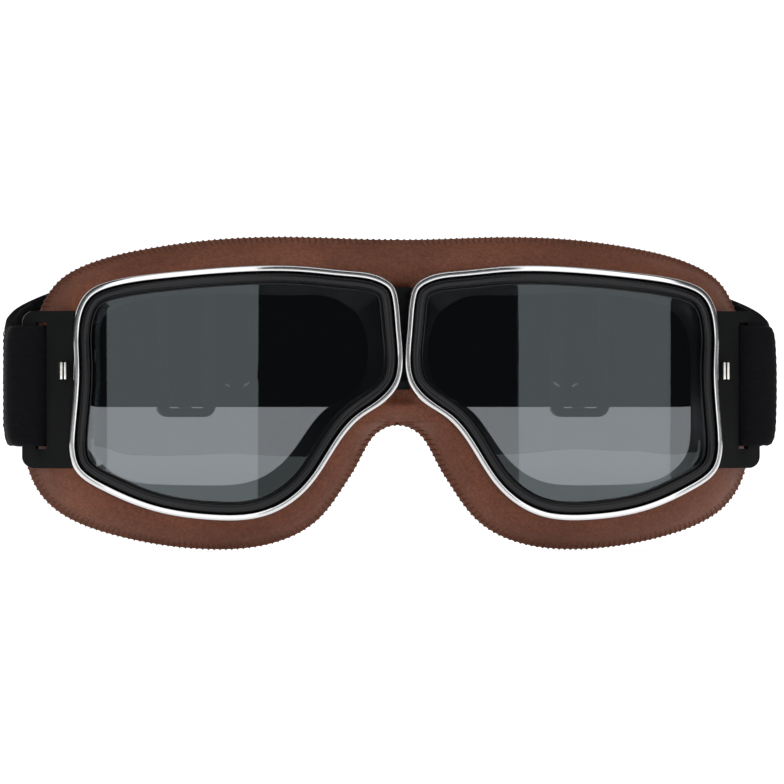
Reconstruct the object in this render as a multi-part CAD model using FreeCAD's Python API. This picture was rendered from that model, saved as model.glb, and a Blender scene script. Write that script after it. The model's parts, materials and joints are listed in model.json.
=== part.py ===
import FreeCAD, Part
import math
import os

# Motorcycle goggles, aviator type, with a looped elastic strap. Millimetres.
# Frame: the front faces -Y, +Z is up, +X is the wearer's left. The origin is on the face seat,
# on the midplane, at half the height of the leather mask.
# Depth is measured from the rims' front, square to the wrapped front, towards the face.

# ---- overall sizes ----
EYE_WIDTH = 83.5            # midplane to the rim's outer edge at the temple
EYE_HEIGHT = 32.3           # mid-height to the rim's highest point
WRAP_RADIUS = 200.0         # the front wraps round a vertical axis at this radius
SEAT_DEPTH = 17.2           # rims' front to the face seat

# ---- chrome rim, lens and its seal ----
RIM_WALL = 1.5              # thickness of the rim band, seen from the front
RIM_DEPTH = 5.2
SEAL_WALL = 3.3             # black seal between the rim and the clear lens
SEAL_RECESS = 0.4           # the seal's front lies this far behind the rim's front
LENS_THICKNESS = 2.0
LENS_RECESS = 2.4           # rim's front to the lens's front
LENS_GRIP = 1.2             # how far the lens reaches into the seal
LENS_CLEARANCE = 0.05

# ---- soft body: black frame, foam cushion, leather mask, face lining ----
FLANGE_DEPTH = 2.2          # black flange that shows behind the rim
FLANGE_INSET = 0.6
FRAME_WALL = 1.4            # black inner wall of the eye cup
LEATHER_THICKNESS = 1.8
LEATHER_MARGIN = 9.8        # leather beyond the rim at the temple
LEATHER_RISE = 7.4          # leather beyond the rim at the top and the bottom
OPENING_MARGIN = 6.9        # cup opening inside the rim at the temple
OPENING_DROP = 6.8          # cup opening inside the rim at the top
LINING_THICKNESS = 1.2
SOFT_GAP = 0.1              # bonded faces are drawn this far apart

# ---- nose bridge ----
HINGE_DEPTH = 8.5           # rims' front to the bridge's bending line
BRIDGE_RADIUS = 1.6
BRIDGE_BOTTOM = 1.0
BRIDGE_TOP = 27.0
BRIDGE_CLEARANCE = 0.3      # between the bridge and the half that turns
FOLD_ANGLE = 20.0           # how far one half folds back about the bridge
NOSE_GAP = 0.3              # half of the gap between the halves

# ---- side tabs, rim clasps, strap ----
TAB_INNER = 2.6             # tab held under the rim
TAB_THICKNESS = 1.8
TAB_RAIL_TOP = 2.9          # tab above its slot
TAB_RAIL_BOTTOM = 4.9       # tab below its slot
TAB_CORNER = 3.0
TAB_CLEARANCE = 0.2
CLASP_LEAF = 0.85
CLASP_SLIT = 0.2
CLASP_GAP = 0.5             # rim's edge to the first leaf
CLASP_HEIGHT = 4.6
CLASP_MIDDLE = 5.8
CLASP_FRONT = 2.6
STRAP_WIDTH = 31.0
STRAP_THICKNESS = 1.8
STRAP_LOW = 2.0             # mid-height of the strap where it passes round the tab
STRAP_HIGH = 12.0           # mid-height of the strap's back run
BAR_WIDTH = 4.2             # bar of the tab that the strap loops round
LOOP_OFFSET = 0.8           # loop's axis beyond the middle of the tab's bar
LOOP_SLACK = 0.76           # between the bar's furthest edge and the loop
LOOP_CLEARANCE = 0.2
LOOP_ROOM = 0.3             # between the loop and the leather's side
SLOT_SPARE = 0.6            # slot beyond the strap's edges
CORNER_RADIUS = 17.0        # middle of the strap where it turns behind the goggles
RUN_BEHIND = 22.95          # loop's axis to the middle of the strap's back run
CORNER_STEPS = 8            # flats along the strap's corner
STRAP_JOINT = 5.0           # back run's ends from the start of the corners
MIDDLE_HALF = 34.7          # half of the stretch of strap between the two side runs
PART_GAP = 0.3              # gap between strap pieces that move apart

# ---- sliders on the strap's back run ----
SLIDER_LENGTH = 15.0
SLIDER_RAIL = 2.5           # rail beyond the strap's edge
SLIDER_BAR = 3.2
SLIDER_BAR_THICKNESS = 1.6
SLIDER_PLACE = 50.5
SLIDER_CLEARANCE = 0.2
SLIDER_CORNER = 3.0

FRONT_Y = -SEAT_DEPTH
REACH = 90.0                # half-height and depth of the cutting bodies
FAR = 60.0                  # distance of the planar ends of the cutting bodies
PAST = 1.0                  # a cutter runs this far past the face that it opens
LEAD = 0.4                  # the flare starts this far before the cushion
OVERRUN = 1.0               # the flare runs on this far behind the face seat
CUSHION_FRONT = RIM_DEPTH + FLANGE_DEPTH    # depth at which the cushion starts
CUSHION_BACK = SEAT_DEPTH - LINING_THICKNESS

# Outlines run from the nose's top along the brow, down the temple and back under the cheek.
# Each point is a share of the outline's own half-width and half-height.
RIM_OUTLINE = [
    (0.041, 0.873), (0.086, 0.932), (0.17, 0.963), (0.305, 0.997), (0.515, 0.994), (0.746, 0.941),
    (0.88, 0.882), (0.946, 0.799), (0.982, 0.619), (0.987, 0.248), (0.998, -0.248), (1.0, -0.449),
    (0.982, -0.604), (0.91, -0.749), (0.749, -0.923), (0.581, -0.991), (0.413, -0.954),
    (0.291, -0.743), (0.213, -0.449), (0.128, -0.183), (0.06, -0.068), (0.022, 0.04),
    (0.004, 0.201), (0.009, 0.511), (0.018, 0.752),
]
LEATHER_OUTLINE = [
    (-0.075, 0.982), (0.011, 0.982), (0.096, 0.987), (0.268, 1.0), (0.488, 0.985), (0.667, 0.932),
    (0.839, 0.824), (0.907, 0.725), (0.95, 0.567), (0.986, 0.202), (1.0, -0.202), (0.999, -0.378),
    (0.98, -0.554), (0.905, -0.761), (0.729, -0.929), (0.509, -0.997), (0.327, -0.95),
    (0.209, -0.791), (0.133, -0.542), (0.07, -0.332), (0.013, -0.217), (-0.043, -0.224),
    (-0.1, 0.128), (-0.1, 0.627), (-0.094, 0.856),
]
OPENING_OUTLINE = [
    (0.144, 0.824), (0.176, 0.898), (0.21, 0.941), (0.35, 0.98), (0.56, 1.0), (0.783, 0.961),
    (0.914, 0.863), (0.961, 0.757), (0.986, 0.627), (1.0, 0.196), (1.0, -0.275), (0.995, -0.51),
    (0.979, -0.647), (0.914, -0.82), (0.783, -0.902), (0.627, -0.914), (0.47, -0.863),
    (0.379, -0.686), (0.313, -0.427), (0.222, -0.118), (0.164, -0.024), (0.125, 0.094),
    (0.104, 0.255), (0.107, 0.588), (0.12, 0.725),
]


def wrap_y(x, depth):
    """Y of the wrapped layer at this depth, above this X."""
    return FRONT_Y + WRAP_RADIUS - math.sqrt((WRAP_RADIUS - depth) ** 2 - x ** 2)


def sized(outline, width, height):
    return [(u * width, v * height) for u, v in outline]


def inset(points, distance):
    """Moves each point of a clockwise outline inwards, square to the line through its neighbours."""
    moved = []
    count = len(points)
    for i in range(count):
        x0, z0 = points[i - 1]
        x1, z1 = points[(i + 1) % count]
        length = math.hypot(x1 - x0, z1 - z0)
        inward_x = (z1 - z0) / length
        inward_z = (x0 - x1) / length
        moved.append((points[i][0] + distance * inward_x, points[i][1] + distance * inward_z))
    return moved


def closed_wire(places):
    curve = Part.BSplineCurve()
    curve.interpolate(Points=[FreeCAD.Vector(*place) for place in places], PeriodicFlag=True)
    return Part.Wire(curve.toShape())


def prism(points):
    """The outline drawn straight through from front to back."""
    face = Part.Face(closed_wire([(x, FRONT_Y - FAR, z) for x, z in points]))
    return face.extrude(FreeCAD.Vector(0, FAR + REACH, 0))


def layer(near, deep):
    """The wrapped layer between two depths."""
    centre = FreeCAD.Vector(0, FRONT_Y + WRAP_RADIUS, -REACH)
    up = FreeCAD.Vector(0, 0, 1)
    outer = Part.makeCylinder(WRAP_RADIUS - near, 2 * REACH, centre, up)
    return outer.cut(Part.makeCylinder(WRAP_RADIUS - deep, 2 * REACH, centre, up))


def flared(front, back):
    """A solid that runs straight back, then flares from one outline to another at the face seat."""
    start = CUSHION_FRONT - LEAD
    end = SEAT_DEPTH + OVERRUN
    share = (end - start) / (CUSHION_BACK - start)
    last = [(a[0] + (b[0] - a[0]) * share, a[1] + (b[1] - a[1]) * share) for a, b in zip(front, back)]
    wires = [
        closed_wire([(x, FRONT_Y - FAR, z) for x, z in front]),
        closed_wire([(x, wrap_y(x, start), z) for x, z in front]),
        closed_wire([(x, wrap_y(x, end), z) for x, z in last]),
        closed_wire([(x, REACH, z) for x, z in last]),
    ]
    return Part.makeLoft(wires, True, True)


def box(low, high):
    return Part.makeBox(high[0] - low[0], high[1] - low[1], high[2] - low[2], FreeCAD.Vector(*low))


def rounded_plate(left, right, bottom, top, radius):
    """A plate through from front to back, with its two outer corners rounded."""
    plate = box((left, FRONT_Y, bottom), (right, REACH, top))
    edges = [edge for edge in plate.Edges
             if abs(edge.BoundBox.XMin - right) < 1e-6 and edge.BoundBox.YLength > 1]
    return plate.makeFillet(radius, edges)


def band(stations, width):
    """Flat webbing along stations (x, y, z, direction in degrees)."""
    half = STRAP_THICKNESS / 2
    wires = []
    for x, y, z, heading in stations:
        nx = half * math.sin(math.radians(heading))
        ny = -half * math.cos(math.radians(heading))
        corners = [(x + nx, y + ny, z - width / 2), (x - nx, y - ny, z - width / 2),
                   (x - nx, y - ny, z + width / 2), (x + nx, y + ny, z + width / 2)]
        vectors = [FreeCAD.Vector(*corner) for corner in corners]
        wires.append(Part.makePolygon(vectors + vectors[:1]))
    return Part.makeLoft(wires, True, True)


RIM_POINTS = sized(RIM_OUTLINE, EYE_WIDTH, EYE_HEIGHT)
LEATHER_POINTS = sized(LEATHER_OUTLINE, EYE_WIDTH + LEATHER_MARGIN, EYE_HEIGHT + LEATHER_RISE)
OPENING_POINTS = sized(OPENING_OUTLINE, EYE_WIDTH - OPENING_MARGIN, EYE_HEIGHT - OPENING_DROP)
LENS_EDGE = RIM_WALL + SEAL_WALL            # rim's edge to the edge of the clear lens
TAB_FRONT = RIM_DEPTH + TAB_CLEARANCE
TAB_MIDDLE = TAB_FRONT + TAB_THICKNESS / 2
BAR_REACH = BAR_WIDTH / 2 + LOOP_OFFSET     # loop's axis to the bar's inner edge
LOOP_RADIUS = math.hypot(BAR_REACH, TAB_THICKNESS / 2) + LOOP_SLACK + STRAP_THICKNESS


def loop_x():
    """The loop stands off the leather's flared side by its own room."""
    radius = WRAP_RADIUS - CUSHION_FRONT
    start = math.asin(EYE_WIDTH / radius)
    end = math.asin((EYE_WIDTH + LEATHER_MARGIN) / (WRAP_RADIUS - CUSHION_BACK))
    width = radius * (end - start)
    deep = CUSHION_BACK - CUSHION_FRONT
    ahead = CUSHION_FRONT - TAB_MIDDLE
    along = ((LOOP_RADIUS + LOOP_ROOM) * math.hypot(width, deep) - ahead * width) / deep
    return (WRAP_RADIUS - TAB_MIDDLE) * math.sin(start + along / radius)


LOOP_X = loop_x()
LOOP_Y = wrap_y(LOOP_X, TAB_MIDDLE)
LOOP_TURN = math.degrees(math.asin(LOOP_X / (WRAP_RADIUS - TAB_MIDDLE)))    # the tab's slope at the loop
BAR_EDGE = LOOP_X + (BAR_WIDTH / 2 - LOOP_OFFSET) * math.cos(math.radians(LOOP_TURN))
BACK_RUN_Y = LOOP_Y + RUN_BEHIND
SLOT_TOP = STRAP_LOW + STRAP_WIDTH / 2 + SLOT_SPARE
SLOT_BOTTOM = STRAP_LOW - STRAP_WIDTH / 2 - SLOT_SPARE
HINGE_Y = FRONT_Y + HINGE_DEPTH


def nose_relief():
    """Keeps each half on its own side, and opens behind the bending line so that it can fold."""
    lean = math.tan(math.radians(FOLD_ANGLE / 2))
    back = NOSE_GAP + lean * (REACH - HINGE_Y)
    corners = [(-REACH, -REACH), (NOSE_GAP, -REACH), (NOSE_GAP, HINGE_Y), (back, REACH), (-REACH, REACH)]
    vectors = [FreeCAD.Vector(x, y, -REACH) for x, y in corners]
    face = Part.Face(Part.makePolygon(vectors + vectors[:1]))
    return face.extrude(FreeCAD.Vector(0, 0, 2 * REACH))


def rim():
    ring = prism(RIM_POINTS).cut(prism(inset(RIM_POINTS, RIM_WALL)))
    return ring.common(layer(0, RIM_DEPTH))


def lens(growth=0.0):
    plate = prism(inset(RIM_POINTS, LENS_EDGE - LENS_GRIP - growth))
    return plate.common(layer(LENS_RECESS - growth, LENS_RECESS + LENS_THICKNESS + growth))


def lens_seal():
    ring = prism(inset(RIM_POINTS, RIM_WALL)).cut(prism(inset(RIM_POINTS, LENS_EDGE)))
    return ring.common(layer(SEAL_RECESS, RIM_DEPTH)).cut(lens(LENS_CLEARANCE))


def tab_blank(growth=0.0):
    plate = rounded_plate(EYE_WIDTH - TAB_INNER - growth, BAR_EDGE + growth,
                          SLOT_BOTTOM - TAB_RAIL_BOTTOM - growth, SLOT_TOP + TAB_RAIL_TOP + growth, TAB_CORNER)
    return plate.common(layer(TAB_FRONT - growth, TAB_FRONT + TAB_THICKNESS + growth))


def side_tab():
    deep = 2 * TAB_THICKNESS
    slot = box((-LOOP_RADIUS - LOOP_CLEARANCE, -deep, SLOT_BOTTOM), (-BAR_REACH, deep, SLOT_TOP))
    slot.rotate(FreeCAD.Vector(0, 0, 0), FreeCAD.Vector(0, 0, 1), LOOP_TURN)
    slot.translate(FreeCAD.Vector(LOOP_X, LOOP_Y, 0))
    return tab_blank().cut(slot)


def eye_frame():
    """Black flange behind the rim, in one with the cup's inner wall that runs back from it."""
    flange = prism(inset(RIM_POINTS, FLANGE_INSET)).cut(prism(inset(RIM_POINTS, LENS_EDGE - FRAME_WALL / 2)))
    flange = flange.common(layer(RIM_DEPTH, CUSHION_FRONT)).cut(tab_blank(TAB_CLEARANCE / 2))
    outer = flared(inset(RIM_POINTS, LENS_EDGE - FRAME_WALL), inset(OPENING_POINTS, -FRAME_WALL))
    inner = flared(inset(RIM_POINTS, LENS_EDGE), OPENING_POINTS)
    wall = outer.cut(inner).common(layer(RIM_DEPTH, CUSHION_BACK))
    return flange.fuse(wall)


def leather():
    outer = flared(RIM_POINTS, LEATHER_POINTS)
    inner = flared(inset(RIM_POINTS, LEATHER_THICKNESS), inset(LEATHER_POINTS, LEATHER_THICKNESS))
    return outer.cut(inner).common(layer(CUSHION_FRONT + SOFT_GAP, CUSHION_BACK))


def cushion():
    step = LEATHER_THICKNESS + SOFT_GAP
    outer = flared(inset(RIM_POINTS, step), inset(LEATHER_POINTS, step))
    hollow = FRAME_WALL + SOFT_GAP
    inner = flared(inset(RIM_POINTS, LENS_EDGE - hollow), inset(OPENING_POINTS, -hollow))
    return outer.cut(inner).common(layer(CUSHION_FRONT + SOFT_GAP, CUSHION_BACK))


def face_lining():
    outer = flared(inset(RIM_POINTS, LEATHER_THICKNESS), inset(LEATHER_POINTS, LEATHER_THICKNESS))
    inner = flared(inset(RIM_POINTS, LENS_EDGE), OPENING_POINTS)
    return outer.cut(inner).common(layer(CUSHION_BACK, SEAT_DEPTH))


def rim_clasp():
    """Two thin leaves that stand side by side on a foot at the rim's edge."""
    low = CLASP_MIDDLE - CLASP_HEIGHT / 2
    high = CLASP_MIDDLE + CLASP_HEIGHT / 2
    start = EYE_WIDTH + CLASP_GAP - SOFT_GAP
    pitch = CLASP_LEAF + CLASP_SLIT
    end = start + pitch + CLASP_LEAF
    foot = box((EYE_WIDTH - RIM_WALL - PAST, FRONT_Y, low), (end, REACH, high))
    foot = foot.common(layer(RIM_DEPTH - CLASP_LEAF, RIM_DEPTH)).cut(prism(RIM_POINTS))
    for x in (start, start + pitch):
        leaf = box((x, FRONT_Y, low), (x + CLASP_LEAF, REACH, high))
        foot = foot.fuse(leaf.common(layer(CLASP_FRONT, RIM_DEPTH - CLASP_LEAF / 2)))
    return foot.removeSplitter()


def strap_loop():
    """The strap's end, looped round the tab's bar, and the corner that turns behind the goggles."""
    low = FreeCAD.Vector(LOOP_X, LOOP_Y, STRAP_LOW - STRAP_WIDTH / 2)
    ring = Part.makeCylinder(LOOP_RADIUS, STRAP_WIDTH, low)
    ring = ring.cut(Part.makeCylinder(LOOP_RADIUS - STRAP_THICKNESS, STRAP_WIDTH, low))
    side_x = LOOP_X + LOOP_RADIUS - STRAP_THICKNESS / 2
    turn_x = side_x - CORNER_RADIUS
    turn_y = BACK_RUN_Y - CORNER_RADIUS
    rise = STRAP_HIGH - STRAP_LOW
    stations = [(side_x, LOOP_Y, STRAP_LOW, 90)]
    for i in range(CORNER_STEPS + 1):
        angle = 90.0 * i / CORNER_STEPS
        across = CORNER_RADIUS * math.cos(math.radians(angle))
        behind = CORNER_RADIUS * math.sin(math.radians(angle))
        stations.append((turn_x + across, turn_y + behind, STRAP_LOW + rise * i / CORNER_STEPS, 90 + angle))
    stations.append((turn_x - STRAP_JOINT, BACK_RUN_Y, STRAP_HIGH, 180))
    return ring.fuse(band(stations, STRAP_WIDTH))


def run_end():
    return LOOP_X + LOOP_RADIUS - STRAP_THICKNESS / 2 - CORNER_RADIUS - STRAP_JOINT - 2 * PART_GAP


def back_run(start, end):
    half = STRAP_THICKNESS / 2
    return box((start, BACK_RUN_Y - half, STRAP_HIGH - STRAP_WIDTH / 2),
               (end, BACK_RUN_Y + half, STRAP_HIGH + STRAP_WIDTH / 2))


def slider():
    """A moulded three-bar slide: outer bars before the strap, the middle bar behind it."""
    half = SLIDER_LENGTH / 2
    gap = STRAP_THICKNESS / 2 + SLIDER_CLEARANCE
    deep = gap + SLIDER_BAR_THICKNESS
    window = STRAP_WIDTH / 2 + SLIDER_CLEARANCE
    tall = STRAP_WIDTH / 2 + SLIDER_RAIL
    left = SLIDER_PLACE - half
    right = SLIDER_PLACE + half
    body = box((left, BACK_RUN_Y - deep, STRAP_HIGH - tall), (right, BACK_RUN_Y + deep, STRAP_HIGH + tall))
    upright = [edge for edge in body.Edges if edge.BoundBox.YLength > deep]
    body = body.makeFillet(min(SLIDER_CORNER, SLIDER_BAR), upright)
    body = body.cut(box((left - PAST, BACK_RUN_Y - gap, STRAP_HIGH - window),
                        (right + PAST, BACK_RUN_Y + gap, STRAP_HIGH + window)))
    middle = SLIDER_BAR / 2
    for start, end, front, back in (
            (left + SLIDER_BAR, right - SLIDER_BAR, BACK_RUN_Y - deep - PAST, BACK_RUN_Y),
            (left - PAST, SLIDER_PLACE - middle, BACK_RUN_Y, BACK_RUN_Y + deep + PAST),
            (SLIDER_PLACE + middle, right + PAST, BACK_RUN_Y, BACK_RUN_Y + deep + PAST)):
        body = body.cut(box((start, front, STRAP_HIGH - window), (end, back, STRAP_HIGH + window)))
    return body


def nose_bridge(growth=0.0):
    low = FreeCAD.Vector(0, HINGE_Y, BRIDGE_BOTTOM - growth)
    return Part.makeCylinder(BRIDGE_RADIUS + growth, BRIDGE_TOP - BRIDGE_BOTTOM + 2 * growth, low)


def only_solids(shape):
    """The shape's solids, as one solid or a group."""
    solids = shape.Solids
    return solids[0] if len(solids) == 1 else Part.makeCompound(solids)


def save(name, shape):
    only_solids(shape).exportStep(os.path.join("parts", name + ".step"))


EYE_PIECES = {
    "rim": rim,
    "rim_clasp": rim_clasp,
    "lens": lens,
    "lens_seal": lens_seal,
    "eye_frame": eye_frame,
    "cushion": cushion,
    "leather": leather,
    "face_lining": face_lining,
    "side_tab": side_tab,
}
STRAP_PIECES = {
    "strap_loop": strap_loop,
    "strap_run": lambda: back_run(MIDDLE_HALF + PART_GAP, run_end()),
    "slider": slider,
}


def build():
    os.makedirs("parts", exist_ok=True)
    relief = nose_relief()
    midplane = (FreeCAD.Vector(0, 0, 0), FreeCAD.Vector(1, 0, 0))
    for name, make in EYE_PIECES.items():
        half = make().cut(relief)
        save("left_" + name, half.cut(nose_bridge()))
        save("right_" + name, half.mirror(*midplane).cut(nose_bridge(BRIDGE_CLEARANCE)))
    for name, make in STRAP_PIECES.items():
        piece = make()
        save("left_" + name, piece)
        save("right_" + name, piece.mirror(*midplane))
    save("nose_bridge", nose_bridge())
    save("strap_middle", back_run(-MIDDLE_HALF, MIDDLE_HALF))


build()
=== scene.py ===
import bpy
import bmesh
import json
import math
import numpy as np
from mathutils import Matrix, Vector, noise


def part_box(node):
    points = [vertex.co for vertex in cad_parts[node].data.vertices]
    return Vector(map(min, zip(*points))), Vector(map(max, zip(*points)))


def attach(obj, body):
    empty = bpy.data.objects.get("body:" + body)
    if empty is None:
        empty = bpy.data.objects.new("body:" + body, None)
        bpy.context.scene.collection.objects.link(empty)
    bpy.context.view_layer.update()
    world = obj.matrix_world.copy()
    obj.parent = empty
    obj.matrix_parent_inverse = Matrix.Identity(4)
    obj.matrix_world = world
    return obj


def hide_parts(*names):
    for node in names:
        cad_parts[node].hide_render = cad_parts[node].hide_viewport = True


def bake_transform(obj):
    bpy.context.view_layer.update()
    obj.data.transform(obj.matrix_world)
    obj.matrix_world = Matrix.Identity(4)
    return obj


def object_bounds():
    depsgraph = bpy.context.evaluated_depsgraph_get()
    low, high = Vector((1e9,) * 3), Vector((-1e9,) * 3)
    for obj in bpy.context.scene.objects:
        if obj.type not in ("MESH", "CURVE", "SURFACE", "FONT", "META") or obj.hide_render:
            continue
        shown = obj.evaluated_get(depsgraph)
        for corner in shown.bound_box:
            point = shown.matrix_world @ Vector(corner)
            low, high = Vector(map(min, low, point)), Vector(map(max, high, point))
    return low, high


# Motorcycle goggles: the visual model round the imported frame.
# Shapes are worked out in millimetres and turned into metres when a mesh is made.
# "depth" is the distance from the rims' front, square to the wrapped front, towards the face.

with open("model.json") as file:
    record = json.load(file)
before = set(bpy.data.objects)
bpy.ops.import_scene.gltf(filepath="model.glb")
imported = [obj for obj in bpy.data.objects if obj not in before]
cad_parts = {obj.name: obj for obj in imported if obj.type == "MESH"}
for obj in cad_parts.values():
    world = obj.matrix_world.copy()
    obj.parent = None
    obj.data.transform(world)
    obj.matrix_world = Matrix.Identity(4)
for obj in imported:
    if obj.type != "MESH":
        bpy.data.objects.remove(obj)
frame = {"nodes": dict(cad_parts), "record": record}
CAD_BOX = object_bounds()
MM = 0.001
AROUND = 480                # points round each eye
SIDES = {"left": 1.0, "right": -1.0}


# ---------------------------------------------------------------- the frame's own sizes

def box_mm(node):
    low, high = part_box(node)
    return np.array(low) / MM, np.array(high) / MM


def merged(node):
    bm = bmesh.new()
    bm.from_mesh(frame["nodes"][node].data)
    bmesh.ops.remove_doubles(bm, verts=bm.verts, dist=2e-6)
    bm.verts.ensure_lookup_table()
    return bm


def sharp_loops(node, least_angle=35.0):
    """The closed chains of a CAD node's sharp edges, in millimetres."""
    bm = merged(node)
    limit = math.radians(least_angle)
    near = {}
    for edge in bm.edges:
        if len(edge.link_faces) == 2 and edge.calc_face_angle(0) > limit:
            a, b = edge.verts
            near.setdefault(a.index, []).append(b.index)
            near.setdefault(b.index, []).append(a.index)
    places = np.array([v.co for v in bm.verts]) / MM
    bm.free()
    loops = []
    seen = set()
    for start in near:
        if start in seen:
            continue
        chain = [start]
        seen.add(start)
        here = near[start][0]
        while here not in seen:
            chain.append(here)
            seen.add(here)
            ahead = [k for k in near[here] if k not in seen]
            if not ahead:
                break
            here = ahead[0]
        if start in near[chain[-1]] and len(chain) > 40:
            loops.append(places[chain])
    return loops


def spaced(points, count):
    """A closed chain redrawn as a smooth curve through its points, evenly spaced."""
    fine = []
    total = len(points)
    for i in range(total):
        p0, p1, p2, p3 = (points[(i + k) % total] for k in (-1, 0, 1, 2))
        spans = ((p0, p1), (p1, p2), (p2, p3))
        gap0, gap1, gap2 = (max(np.linalg.norm(b - a), 1e-6) ** 0.5 for a, b in spans)
        slope1 = ((p1 - p0) / gap0 - (p2 - p0) / (gap0 + gap1) + (p2 - p1) / gap1) * gap1
        slope2 = ((p2 - p1) / gap1 - (p3 - p1) / (gap1 + gap2) + (p3 - p2) / gap2) * gap1
        for u in np.arange(0, 1, 1 / 16):
            u2, u3 = u * u, u * u * u
            fine.append((2 * u3 - 3 * u2 + 1) * p1 + (u3 - 2 * u2 + u) * slope1
                        + (3 * u2 - 2 * u3) * p2 + (u3 - u2) * slope2)
    fine = np.array(fine + [fine[0]])
    run = np.concatenate([[0], np.cumsum(np.linalg.norm(np.diff(fine, axis=0), axis=1))])
    at = np.linspace(0, run[-1], count, endpoint=False)
    return np.column_stack([np.interp(at, run, fine[:, k]) for k in range(fine.shape[1])])


def eased(values, passes=3):
    """Values round a closed chain, lightly smoothed."""
    for _ in range(passes):
        values = (np.roll(values, 1, 0) + 2 * values + np.roll(values, -1, 0)) / 4
    return values


RIM_LOOPS = sorted(sharp_loops("left_rim"), key=lambda l: (-np.ptp(l[:, 0]).round(0), l[:, 1].min()))
RIM_FRONT = RIM_LOOPS[0]                                # the rim's outer edge, at its front
FRONT_Y = RIM_FRONT[:, 1].min()
TEMPLE = RIM_FRONT[RIM_FRONT[:, 0].argmax()]
# radius of the wrapped front
WRAP = (TEMPLE[0] ** 2 + (TEMPLE[1] - FRONT_Y) ** 2) / (2 * (TEMPLE[1] - FRONT_Y))
CENTRE = np.array([np.mean([RIM_FRONT[:, 0].min(), RIM_FRONT[:, 0].max()]), 0.3])


def wrap_y(x, depth):
    """Where a depth lies along Y, at this distance from the midplane."""
    return FRONT_Y + WRAP - np.sqrt((WRAP - depth) ** 2 - np.square(x))


def depth_of(places):
    """The depths of places in space."""
    return WRAP - np.hypot(places[:, 0], places[:, 1] - FRONT_Y - WRAP)


def flat(loop):
    """X and Z only."""
    return loop[:, [0, 2]]


RIM_EDGE = eased(spaced(flat(RIM_FRONT), AROUND))       # every outline below has a point on each of its rays
if (RIM_EDGE[AROUND // 8] - RIM_EDGE[0])[1] < 0:
    RIM_EDGE = RIM_EDGE[::-1]
RAYS = np.arctan2(RIM_EDGE[:, 1] - CENTRE[1], RIM_EDGE[:, 0] - CENTRE[0])


def on_rays(loop):
    """A closed outline's points along the rays from the eye's centre."""
    fine = spaced(flat(loop), 3000) - CENTRE
    angle = np.arctan2(fine[:, 1], fine[:, 0])
    order = np.argsort(angle)
    reach = np.interp(RAYS, angle[order], np.hypot(fine[:, 0], fine[:, 1])[order], period=2 * math.pi)
    return eased(CENTRE + np.column_stack([np.cos(RAYS), np.sin(RAYS)]) * reach[:, None])


SEAL_LOOPS = sharp_loops("left_lens_seal")
CLEAR_EDGE = on_rays(min(SEAL_LOOPS, key=lambda l: (np.ptp(l[:, 0]).round(1), l[:, 1].min())))
LENS_LOOPS = sorted(sharp_loops("left_lens"), key=lambda l: l[:, 1].min())
LENS_EDGE = on_rays(LENS_LOOPS[0])
LENS_FRONT = float(depth_of(LENS_LOOPS[0]).mean())
LENS_BACK = float(depth_of(LENS_LOOPS[1]).mean())
RIM_BACK = float(max(depth_of(l).mean() for l in RIM_LOOPS))
OPENING_LOOPS = [l for l in sharp_loops("left_face_lining") if np.ptp(l[:, 0]) > 60]
OPENING = on_rays(OPENING_LOOPS[0])
SEAT = float(max(depth_of(l).mean() for l in OPENING_LOOPS))


def leather_outline():
    """The outer edge of the soft body's back along each ray, and its depth."""
    a, b = [], []
    for node in ("left_leather", "left_cushion"):
        bm = merged(node)
        places = np.array([v.co for v in bm.verts]) / MM
        ends = np.array([[e.verts[0].index, e.verts[1].index] for e in bm.edges])
        bm.free()
        depth = depth_of(places)
        deep = depth.max()
        ends = ends[(depth[ends] > deep - 0.08).all(axis=1)]
        a.append(places[ends[:, 0]][:, [0, 2]] - CENTRE)
        b.append(places[ends[:, 1]][:, [0, 2]] - CENTRE)
    a, b = np.concatenate(a), np.concatenate(b)
    reach = []
    for ray in RAYS:
        c, s = math.cos(ray), math.sin(ray)
        side_a = c * a[:, 1] - s * a[:, 0]
        side_b = c * b[:, 1] - s * b[:, 0]
        hit = side_a * side_b <= 0
        share = side_a[hit] / (side_a[hit] - side_b[hit] + 1e-12)
        along = (c * a[hit, 0] + s * a[hit, 1]) * (1 - share) + (c * b[hit, 0] + s * b[hit, 1]) * share
        reach.append(along.max())
    outline = CENTRE + np.column_stack([np.cos(RAYS), np.sin(RAYS)]) * np.array(reach)[:, None]
    return outline, deep


LEATHER_EDGE, LEATHER_BACK = leather_outline()


NOSE_REACH = 12.0           # how far from the midplane the outline is drawn over to it
ARCH_TOP = -8.0             # height of the leather's edge over the nose
ARCH_FALL = 0.072           # how fast that edge falls away to each side


def to_midplane(outline):
    """Carries an outline over the nose relief to the midplane. Returns it and which points lie there."""
    relief = outline[:, 0].min() + 0.35
    at_nose = outline[:, 0] < relief
    moved = outline.copy()
    for upper in (True, False):
        side = ~at_nose & (outline[:, 0] < 40) & ((outline[:, 1] > CENTRE[1]) == upper)
        order = np.argsort(outline[side, 0])
        across, up = outline[side][order].T
        near = side & (outline[:, 0] < NOSE_REACH)
        start = across[0]
        x = (outline[near, 0] - start) * NOSE_REACH / (NOSE_REACH - start)
        z = np.interp(x, across, up)
        if not upper:
            arch = 1 - smooth_step(x, 5.0, NOSE_REACH)
            z = between(z, ARCH_TOP - ARCH_FALL * x * x, arch)
        moved[near] = np.column_stack([x, z])
    middle = moved[~at_nose & (moved[:, 0] < 1.5)]
    low, high = middle[:, 1].min(), middle[:, 1].max()
    toward = outline[at_nose] - CENTRE
    crossing = CENTRE[1] + toward[:, 1] * CENTRE[0] / -toward[:, 0]
    moved[at_nose, 0] = 0
    moved[at_nose, 1] = np.clip(crossing, max(low, ARCH_TOP), high)
    return moved, at_nose


def smooth_step(value, low, high):
    share = np.clip((value - low) / (high - low), 0, 1)
    return share * share * (3 - 2 * share)


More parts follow.
